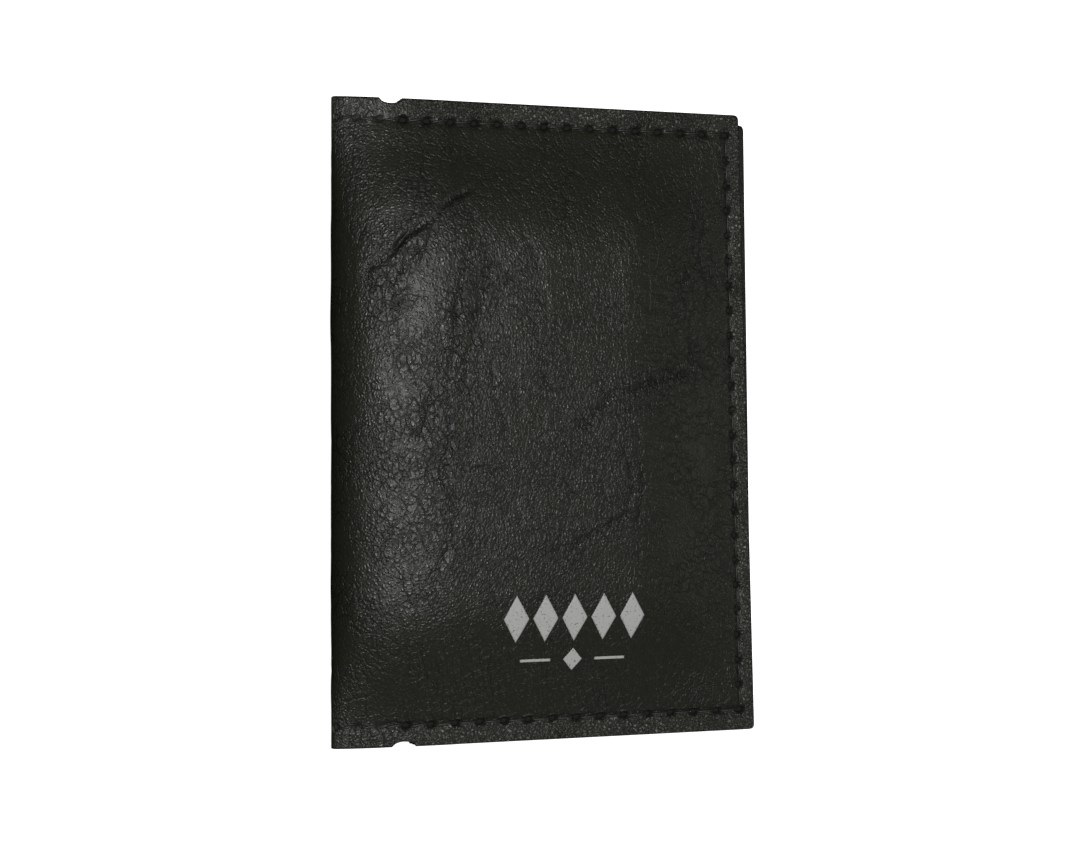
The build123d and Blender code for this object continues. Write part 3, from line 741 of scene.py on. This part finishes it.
def cover_leather():
    c, s = colours(), sizes()
    return crackled_polyurethane("crackled_polyurethane_cover", s.grain, c.leather, c.leather_hollow_shade,
                                 c.rubbed_and_highlight, relief_mm=0.07, rough=0.3)


def pocket_leather():
    c, s = colours(), sizes()
    return crackled_polyurethane("fine_polyurethane_pocket", s.grain * 0.7, c.pocket, c.leather_hollow_shade,
                                 c.rubbed_and_highlight, relief_mm=0.08, rough=0.5)


# ---- operators -------------------------------------------------------------------------------

def bend_with_fold(piece, side):
    """Bakes the piece's placement into its mesh. The sheet of a half already follows the spine at
    the middle of the spine and its cover beyond the fold, as it was built."""
    if side == FRONT:
        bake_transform(piece)
    else:
        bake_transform(piece)


def seam_stops():
    """Finer grid lines along the head and tail seams and edges."""
    seams = [(way * SEAM_Y, *SEAM_GRID) for way in (1, -1)]
    return seams + [(way * HALF_H, *EDGE_GRID) for way in (1, -1)]


class CARDCASE_OT_covers(bpy.types.Operator):
    """Builds the one-piece cover sheet as two halves that meet at the middle of the spine"""
    bl_idname = "card_case.covers"
    bl_label = "Cover sheet"

    def execute(self, context):
        s = sizes()
        for side in (FRONT, BACK):
            far_u = u_of(fore_edge(side))
            across = stops(0, far_u, 0.46, [(u_of(seam_x(side)), *SEAM_GRID), (far_u, *EDGE_GRID),
                                            (u_of(MOUTH_X), *MOUTH_GRID)])
            along = stops(-HALF_H, HALF_H, 0.5, seam_stops())

            def skin(u, y, side=side, far_u=far_u):
                bumps, pits, flex, line = relief(u, y, side)
                rolled = edge_round(u, y, far_u)
                u_cut, y_cut = rounded_outline(u, y, far_u)
                self.pits, self.flex, self.line = pits, flex, line
                return place(u_cut, y_cut, side, rolled - bumps)

            piece, u, y = new_grid(f"{HALF_NAMES[side]}_cover_sheet", across, along, skin,
                                   [shared(cover_leather), shared(edge_paint)], flip=side == BACK)
            # the painted shade of the stitch holes and of the crease cores, read by the cover material
            set_float(piece, "pit", np.clip(self.pits * 1.1, 0, 1))
            set_float(piece, "flex", self.flex)
            set_float(piece, "line", self.line)
            off_rim = np.minimum(seam_x(side) - x_of(u), SEAM_Y - np.abs(y))
            set_float(piece, "rim", ramp(0.5 - off_rim / 1.6) * ramp((x_of(u) - MOUTH_X + 1) / 4))
            thicken(piece, s.leather, rim_material=1)
            bend_with_fold(piece, side)
            names = [f"{HALF_NAMES[side]}_cover"] + (["spine_cover"] if side == FRONT else [])
            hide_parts(*names)
        return {"FINISHED"}


class CARDCASE_OT_linings(bpy.types.Operator):
    """Builds the lining cloth behind the cover sheet"""
    bl_idname = "card_case.linings"
    bl_label = "Lining"

    def execute(self, context):
        s = sizes()
        for side in (FRONT, BACK):
            far_u = u_of(fore_edge(side)) - 0.12
            across = stops(0, far_u, 1.0, [(u_of(MOUTH_X), 2.2, 0.5)])
            along = stops(-HALF_H + 0.3, HALF_H - 0.3, 1.0, [])

            def cloth(u, y, side=side, far_u=far_u):
                x = x_of(u)
                padded = ramp((x - MOUTH_X - 1) / 3) * ramp((seam_x(side) - 3 - x) / 3)
                padded = padded * ramp((SEAM_Y - 3 - np.abs(y)) / 4)
                u_cut, y_cut = rounded_outline(u, y, far_u)
                return place(u_cut, y_cut, side, s.leather + 0.03 + s.foam * padded)

            piece, _, _ = new_grid(f"{HALF_NAMES[side]}_lining_cloth", across, along, cloth,
                                   [shared(woven_polyester)], flip=side == BACK)
            thicken(piece, s.lining - 0.05)
            bend_with_fold(piece, side)
            names = [f"{HALF_NAMES[side]}_lining"] + (["spine_lining"] if side == FRONT else [])
            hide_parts(*names)
        return {"FINISHED"}


class CARDCASE_OT_pads(bpy.types.Operator):
    """Builds the thin foam pads between cover and lining"""
    bl_idname = "card_case.pads"
    bl_label = "Foam pads"

    def execute(self, context):
        s = sizes()
        for side in (FRONT, BACK):
            across = stops(u_of(MOUTH_X + 5), u_of(seam_x(side) - 7), 1.2, [])
            along = stops(-SEAM_Y + 8, SEAM_Y - 8, 1.2, [])
            middle = (across[0] + across[-1]) / 2

            def pad(u, y, side=side, across=across, along=along, middle=middle):
                corner = np.hypot((u - middle) / (across[-1] - middle), y / along[-1])
                draw_in = 1 - 0.02 * np.clip(corner - 1, 0, 1)
                return place(middle + (u - middle) * draw_in, y * draw_in, side, s.leather + 0.06)

            piece, _, _ = new_grid(f"{HALF_NAMES[side]}_foam_pad", across, along, pad,
                                   [shared(open_cell_foam)], flip=side == BACK)
            thicken(piece, s.foam - 0.08)
            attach(piece, HALF_NAMES[side])
            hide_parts(f"{HALF_NAMES[side]}_foam")
        return {"FINISHED"}


def panel_point(x, y, z, side):
    """A point of a flat pocket layer, z above the middle of the case."""
    return leaned(x, y, np.broadcast_to(z, np.shape(x)), side)


class CARDCASE_OT_pockets(bpy.types.Operator):
    """Builds the pocket panels with their turned mouth edges"""
    bl_idname = "card_case.pockets"
    bl_label = "Pockets"

    def execute(self, context):
        for side in (FRONT, BACK):
            far_u = u_of(fore_edge(side))
            self.panel(side, far_u)
            self.hem(side)
        return {"FINISHED"}

    def panel(self, side, far_u):
        across = stops(u_of(MOUTH_X), far_u, 0.8, [(u_of(seam_x(side)), 1.0, 0.3), (far_u, 0.6, 0.15),
                                                   (u_of(MOUTH_X), 2.2, 0.3), (u_of(MOUTH_SEAM_X), 1.0, 0.3)])
        along = stops(-HALF_H, HALF_H, 0.8, [(SEAM_Y, 1.0, 0.3), (-SEAM_Y, 1.0, 0.3),
                                             (HALF_H, 0.6, 0.15), (-HALF_H, 0.6, 0.15)])

        def inner_face(u, y):
            x = x_of(u)
            waver = noise_field(np.stack([u, y], axis=1), 12, 50 + side)
            seam = np.minimum(np.abs(np.abs(y) - SEAM_Y), np.abs(x - seam_x(side)))
            seam = np.where((np.abs(y) > SEAM_Y + 1) | (x > seam_x(side) + 1), np.maximum(seam, 1.0), seam)
            mouth = np.abs(x - MOUTH_SEAM_X) + 5 * ramp((np.abs(y) - SEAM_Y + 1.5) / 2)
            furrow = 0.17 * np.exp(-(seam / 0.5) ** 2) + 0.17 * np.exp(-(mouth / 0.5) ** 2)
            rolled = edge_round(u, y, far_u, 0.25)
            mouth_roll = 0.25 * (1 - np.sqrt(1 - np.clip(1 - (x - MOUTH_X) / 0.25, 0, 1) ** 2))
            u_cut, y_cut = rounded_outline(u, y, far_u)
            x_cut = x_of(u_cut)
            z = PANEL_IN + PANEL_AIR + PANEL_WAVER * waver + furrow + rolled + mouth_roll
            return panel_point(x_cut, y_cut, z, side)

        piece, u, y = new_grid(f"{HALF_NAMES[side]}_pocket_panel", across, along, inner_face,
                               [shared(pocket_leather), shared(edge_paint)], flip=side == FRONT)
        set_float(piece, "pit", np.zeros(len(u)))
        set_float(piece, "rim", ramp(1 - (HALF_H - np.abs(y)) / 3))
        thicken(piece, PANEL_OUT - PANEL_IN - 0.08, rim_material=1)
        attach(piece, HALF_NAMES[side])
        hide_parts(f"{HALF_NAMES[side]}_pocket")

    def hem(self, side):
        across = stops(u_of(MOUTH_X + 0.15), u_of(HEM_X), 0.5, [])
        along = stops(-SEAM_Y + 2, SEAM_Y - 2, 1.0, [])

        def folded_back(u, y):
            x = x_of(u)
            skived = ramp((HEM_X - x) / 2.0)
            wave = 0.35 * noise_field(np.stack([u * 0, y], axis=1), 9, 60 + side) * (x - MOUTH_X) / 7
            return panel_point(x + wave, y, PANEL_OUT + 0.04 + 0.26 * skived, side)

        piece, u, y = new_grid(f"{HALF_NAMES[side]}_mouth_hem", across, along, folded_back,
                               [shared(pocket_leather), shared(edge_paint)], flip=side == BACK)
        set_float(piece, "pit", np.zeros(len(u)))
        set_float(piece, "rim", np.zeros(len(u)))
        thicken(piece, 0.24, rim_material=1)
        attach(piece, HALF_NAMES[side])
        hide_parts(f"{HALF_NAMES[side]}_hem")


RINGS, SIDES = 9, 7


def add_stitches(name, spans, surface, lift, sink, thread):
    """One mesh of separate stitches.  Each span is two (across, along) places; surface gives the
    point in metres at a place and a height in millimetres above the skin."""
    bm = bmesh.new()
    for start, end in spans:
        before = len(bm.verts)
        bmesh.ops.create_grid(bm, x_segments=RINGS - 1, y_segments=SIDES, size=1.0)
        bm.verts.ensure_lookup_table()
        added = bm.verts[before:]
        local = np.array([v.co for v in added])
        t = (local[:, 0] + 1) / 2
        turn = (local[:, 1] + 1) * math.pi
        taper = np.clip(np.sin(math.pi * np.clip(t, 0.03, 0.97)), 0, 1) ** 0.3
        radius = thread / 2 * taper * (1 + 0.13 * np.cos(2 * turn + 9 * t))
        rise = lift * np.sin(math.pi * t) ** 0.45 - sink * (1 - np.sin(math.pi * t) ** 0.3)
        direction = np.array([end[0] - start[0], end[1] - start[1]])
        length = np.linalg.norm(direction)
        direction = direction / length
        side_way = np.array([-direction[1], direction[0]])
        path = np.outer(t * length, direction) + np.array(start)
        flat = path + np.outer(radius * np.cos(turn), side_way)
        points = surface(flat[:, 0], flat[:, 1], rise + radius * np.sin(turn))
        for vert, point in zip(added, points):
            vert.co = point
    bmesh.ops.remove_doubles(bm, verts=bm.verts, dist=0.004 * MM)
    bmesh.ops.holes_fill(bm, edges=[e for e in bm.edges if e.is_boundary], sides=SIDES + 1)
    bmesh.ops.recalc_face_normals(bm, faces=bm.faces)
    mesh = bpy.data.meshes.new(name)
    bm.to_mesh(mesh)
    bm.free()
    mesh.polygons.foreach_set("use_smooth", np.ones(len(mesh.polygons), bool))
    mesh.materials.append(shared(bonded_thread))
    made = bpy.data.objects.new(name, mesh)
    bpy.context.scene.collection.objects.link(made)
    return made


def pairs(places):
    return list(zip(places[:-1], places[1:]))


class CARDCASE_OT_stitches(bpy.types.Operator):
    """Sews the needle thread, the bobbin thread and the mouth rows"""
    bl_idname = "card_case.stitches"
    bl_label = "Stitches"

    def execute(self, context):
        for side in (FRONT, BACK):
            self.outer(side)
            self.inner(side)
            self.mouth(side)
        return {"FINISHED"}

    def outer(self, side):
        half = HALF_NAMES[side]
        thread = sizes().thread
        spans = []
        for y in (SEAM_Y, -SEAM_Y):
            for start, end in pairs(head_holes(side)):
                slant = SLANT_SPINE if start < u_of(MOUTH_X + SLANT_REACH) else SLANT
                spans.append(((start - STITCH_IN, y + slant), (end + STITCH_IN, y - slant)))
        fore_u = u_of(seam_x(side))
        for y, y_next in pairs(fore_holes()):
            spans.append(((fore_u, y - STITCH_IN), (fore_u, y_next + STITCH_IN)))

        def on_skin(u, y, rise):
            sunk = 0.1 * ramp((x_of(u) - MOUTH_X - 6) / 6)
            return place(u, y, side, 0.02 + sunk - rise)

        piece = add_stitches(f"{half}_needle_thread", spans, on_skin, 0.02, 0.42, thread)
        bend_with_fold(piece, side)
        names = [f"{half}_thread"] + (["spine_thread"] if side == FRONT else [])
        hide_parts(*names)

    def inner(self, side):
        half = HALF_NAMES[side]
        spans = []
        for y in (SEAM_Y, -SEAM_Y):
            spans += pairs([(float(x_of(u)), y) for u in head_holes(side) if u > u_of(MOUTH_X) - 0.1])
        spans += pairs([(seam_x(side), y) for y in fore_holes()])
        piece = add_stitches(f"{half}_bobbin_thread_row", spans, self.on_panel(side), 0.0, 0.2,
                             BOBBIN_THREAD)
        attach(piece, half)
        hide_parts(f"{half}_bobbin_thread")

    def mouth(self, side):
        half = HALF_NAMES[side]
        reach = SEAM_Y - MOUTH_END
        rows = [(MOUTH_SEAM_X, -reach + 2 * reach * k / MOUTH_STITCHES) for k in range(MOUTH_STITCHES + 1)]
        piece = add_stitches(f"{half}_mouth_thread_row", pairs(rows), self.on_panel(side), 0.0, 0.2,
                             BOBBIN_THREAD)
        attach(piece, half)
        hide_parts(f"{half}_mouth_thread")

    def on_panel(self, side):
        def inner_face(x, y, rise):
            return panel_point(x, y, PANEL_IN + 0.2 - rise, side)
        return inner_face


class CARDCASE_OT_stamp(bpy.types.Operator):
    """Stamps the foil ornament: a row of lozenges over a small one between two rules"""
    bl_idname = "card_case.stamp"
    bl_label = "Foil stamp"

    def execute(self, context):
        s = sizes()
        low_y = s.stamp_y - STAMP_DROP
        marks = [(s.stamp_x + STAMP_PITCH * k, s.stamp_y, *LOZENGE, True) for k in range(-2, 3)]
        marks += [(s.stamp_x, low_y, *LOZENGE_LOW, True)]
        marks += [(s.stamp_x + way * RULE_AWAY, low_y, *RULE, False) for way in (-1, 1)]
        parts = []
        for number, (x, y, half_w, half_h, lozenge) in enumerate(marks):
            parts.append(self.mark(f"stamp_part_{number}", x, y, half_w, half_h, lozenge))
        bpy.ops.object.select_all(action="DESELECT")
        for part in parts:
            part.select_set(True)
        context.view_layer.objects.active = parts[0]
        bpy.ops.object.join()
        piece = parts[0]
        piece.select_set(False)
        piece.name = "front_foil_stamp"
        thicken(piece, 0.06)
        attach(piece, "front")
        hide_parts("front_stamp")
        return {"FINISHED"}

    def mark(self, name, x, y, half_w, half_h, lozenge):
        lines = np.linspace(-1, 1, 13)

        def on_cover(a, b):
            if lozenge:
                px, py = x + (a + b) / 2 * half_w, y + (b - a) / 2 * half_h
            else:
                px, py = x + a * half_w, y + b * half_h
            bumps = relief(u_of(px), py, FRONT)[0]
            self.sheet = np.stack([u_of(px), py, np.zeros_like(px)], axis=1) * MM
            return place(u_of(px), py, FRONT, -0.035 - bumps)

        piece, _, _ = new_grid(name, lines, lines, on_cover, [shared(hot_stamped_foil)])
        places = piece.data.attributes["sheet_place"].data
        places.foreach_set("vector", self.sheet.astype(np.float32).ravel())
        return piece


class CARDCASE_OT_studio(bpy.types.Operator):
    """Sets the pale floor, the soft lights and the camera"""
    bl_idname = "card_case.studio"
    bl_label = "Studio"

    def execute(self, context):
        scene = context.scene
        bm = bmesh.new()
        bmesh.ops.create_grid(bm, x_segments=1, y_segments=1, size=3.0)
        mesh = bpy.data.meshes.new("studio_floor")
        bm.to_mesh(mesh)
        bm.free()
        mesh.transform(Matrix.Translation((0, 0, -0.02 * MM)))
        mesh.materials.append(shared(studio_paper))
        floor = bpy.data.objects.new("studio_floor", mesh)
        scene.collection.objects.link(floor)
        floor.visible_glossy = False
        floor.visible_diffuse = False
        self.light("key_softbox", (-0.07, 0.03, 0.5), 0.07, 1.5)
        self.light("fore_fill", (0.8, 0.0, 0.4), 0.3, 0.5)
        self.light("low_fill", (0.3, -0.75, 0.16), 0.3, 0.8)
        world = bpy.data.worlds.new("studio_air")
        world.use_nodes = True
        world.node_tree.nodes["Background"].inputs["Color"].default_value = (1, 1, 1, 1)
        world.node_tree.nodes["Background"].inputs["Strength"].default_value = AIR_LIGHT
        scene.world = world
        scene.view_settings.view_transform = "Standard"
        self.camera(scene)
        return {"FINISHED"}

    def light(self, name, place_at, size, power):
        data = bpy.data.lights.new(name, "AREA")
        data.shape = "DISK"
        data.size = size
        data.energy = power
        made = bpy.data.objects.new(name, data)
        made.location = place_at
        made.rotation_mode = "QUATERNION"
        made.rotation_quaternion = (-Vector(place_at)).to_track_quat("-Z", "Y")
        bpy.context.scene.collection.objects.link(made)

    def camera(self, scene):
        turn = math.radians(CAMERA_TURN)
        distance = CAMERA_DISTANCE * MM
        back = Vector((-math.sin(turn), 0, math.cos(turn)))
        right = Vector((math.cos(turn), 0, math.sin(turn)))
        up = Vector((0, 1, 0))
        aim = Vector((0, 0, MID * MM)) - right * CAMERA_ASIDE * MM + up * CAMERA_UP * MM
        data = bpy.data.cameras.new("camera")
        data.sensor_width = 36
        data.lens = CAMERA_LENS
        data.clip_start = 0.01
        made = bpy.data.objects.new("camera", data)
        turned = Matrix((right, up, back)).transposed().to_4x4()
        turned.translation = aim + back * distance
        made.matrix_world = turned
        scene.collection.objects.link(made)
        scene.camera = made


OPERATORS = (CARDCASE_OT_covers, CARDCASE_OT_linings, CARDCASE_OT_pads, CARDCASE_OT_pockets,
             CARDCASE_OT_stitches, CARDCASE_OT_stamp, CARDCASE_OT_studio)


class CARDCASE_PT_panel(bpy.types.Panel):
    """Lists the sizes, the colours and the operators of the card case"""
    bl_idname = "CARDCASE_PT_panel"
    bl_label = "Card Case"
    bl_space_type = "VIEW_3D"
    bl_region_type = "UI"
    bl_category = "Card Case"

    def draw(self, context):
        for group in (context.scene.card_case_sizes, context.scene.card_case_colours):
            for key in group.__annotations__:
                self.layout.prop(group, key)
        for operator in OPERATORS:
            self.layout.operator(operator.bl_idname)


CLASSES = (CardCaseSizes, CardCaseColours, *OPERATORS, CARDCASE_PT_panel)


def register():
    for cls in CLASSES:
        bpy.utils.register_class(cls)
    bpy.types.Scene.card_case_sizes = bpy.props.PointerProperty(type=CardCaseSizes)
    bpy.types.Scene.card_case_colours = bpy.props.PointerProperty(type=CardCaseColours)


def unregister():
    del bpy.types.Scene.card_case_colours
    del bpy.types.Scene.card_case_sizes
    for cls in reversed(CLASSES):
        bpy.utils.unregister_class(cls)


def main():
    register()
    bpy.ops.card_case.covers()
    bpy.ops.card_case.linings()
    bpy.ops.card_case.pads()
    bpy.ops.card_case.pockets()
    bpy.ops.card_case.stitches()
    bpy.ops.card_case.stamp()
    bpy.ops.card_case.studio()


if __name__ == "__main__":
    main()
